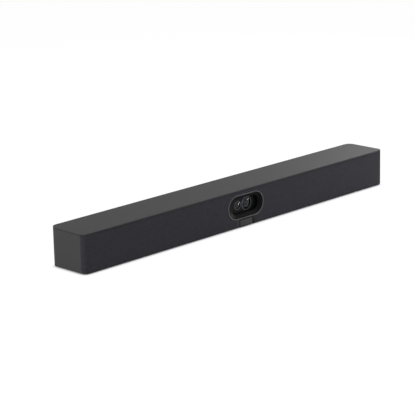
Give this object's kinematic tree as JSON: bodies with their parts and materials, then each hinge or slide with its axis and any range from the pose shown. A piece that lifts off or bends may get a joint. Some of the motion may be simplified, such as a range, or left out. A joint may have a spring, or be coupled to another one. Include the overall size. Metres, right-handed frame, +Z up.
{
  "type": "conference camera",
  "caption": "Long flat-topped video conference bar with a fabric front, a recessed rimmed camera window with a sliding lens cap, side speakers and a rear port bay.",
  "frame": {"origin": "middle of the footprint on the surface that the feet stand on", "axes": "+X along the bar to the right as seen from the front, +Y to the rear, +Z up; the camera looks along -Y"},
  "size_m": [0.6, 0.066, 0.054],
  "materials": {
    "shell": "fine matt texture",
    "fabric": "tight acoustic weave",
    "rubber": "matt",
    "dark_plastic": "satin",
    "black_plastic": "satin",
    "rim_metal": "satin anodised",
    "lens_glass": "coated",
    "bracket_steel": "brushed",
    "jack_steel": "bright plated",
    "screw_steel": "black zinc",
    "sink_aluminium": "anodised",
    "brass": "turned",
    "board_green": "solder mask",
    "flex_amber": "film",
    "sensor_silicon": "polished",
    "cone_paper": "pressed paper",
    "soft_rubber": "matt",
    "lead_sleeve": "satin"
  },
  "bodies": {
    "root": {"bottom_tray": "shell", "top_cover": "shell", "left_end_cap": "shell", "right_end_cap": "shell", "rear_panel": "shell", "grille_frame": "dark_plastic", "grille_fabric": "fabric", "rubber_feet": "rubber", "name_plate": "black_plastic", "window_trim": "rim_metal", "camera_bezel": "dark_plastic", "lens_cap_track": "black_plastic", "lens_cap_motor": "bracket_steel", "camera_pocket": "black_plastic", "wide_lens_barrel": "black_plastic", "wide_lens_glass": "lens_glass", "narrow_lens_barrel": "black_plastic", "narrow_lens_glass": "lens_glass", "camera_bracket": "bracket_steel", "sensor_board": "board_green", "image_sensors": "sensor_silicon", "camera_heat_spreader": "sink_aluminium", "camera_flex": "flex_amber", "camera_screws": "screw_steel", "left_speaker_enclosure": "black_plastic", "left_speaker_basket": "bracket_steel", "left_speaker_surround": "soft_rubber", "left_speaker_magnet": "bracket_steel", "right_speaker_enclosure": "black_plastic", "right_speaker_basket": "bracket_steel", "right_speaker_surround": "soft_rubber", "right_speaker_magnet": "bracket_steel", "speaker_screws": "screw_steel", "speaker_leads": "lead_sleeve", "left_microphone_board": "board_green", "right_microphone_board": "board_green", "microphones": "bracket_steel", "main_board": "board_green", "processor_shield": "bracket_steel", "heat_sink": "sink_aluminium", "network_jack": "jack_steel", "hdmi_jacks": "jack_steel", "usb_jacks": "jack_steel", "usb_c_jack": "jack_steel", "audio_jack": "black_plastic", "power_jack": "black_plastic", "reset_switch": "jack_steel", "port_plate": "black_plastic", "antennas": "flex_amber", "board_screws": "screw_steel", "case_screws": "screw_steel", "rear_panel_screws": "screw_steel", "wall_mount_inserts": "brass", "tripod_insert": "brass"},
    "lens_cap": {"lens_cap": "dark_plastic"},
    "cap_drive": {"lens_cap_pinion": "brass", "lens_cap_motor_shaft": "bracket_steel"},
    "left_cone": {"left_speaker_cone": "cone_paper"},
    "right_cone": {"right_speaker_cone": "cone_paper"},
    "reset_plunger": {"reset_button": "black_plastic"}
  },
  "joints": [
    {"name": "lens_cap_slide", "type": "slide", "parent": "root", "child": "lens_cap", "axis": [-1, 0, 0], "range_m": [0, 0.05655]},
    {"name": "cap_drive_spin", "type": "hinge", "parent": "root", "child": "cap_drive", "pos_m": [0.033, -0.0271, 0.0465], "axis": [0, 1, 0], "range_deg": [-1, 1081]},
    {"name": "left_cone_travel", "type": "slide", "parent": "root", "child": "left_cone", "axis": [0, -1, 0], "range_m": [-0.002, 0.002], "stiffness_N_per_m": 1500},
    {"name": "right_cone_travel", "type": "slide", "parent": "root", "child": "right_cone", "axis": [0, -1, 0], "range_m": [-0.002, 0.002], "stiffness_N_per_m": 1500},
    {"name": "reset_press", "type": "slide", "parent": "root", "child": "reset_plunger", "axis": [0, -1, 0], "range_m": [0, 0.0008], "stiffness_N_per_m": 300}
  ],
  "couplings": [
    {"joint": "cap_drive_spin", "follows": "lens_cap_slide", "rad_per_m": 333.33}
  ]
}
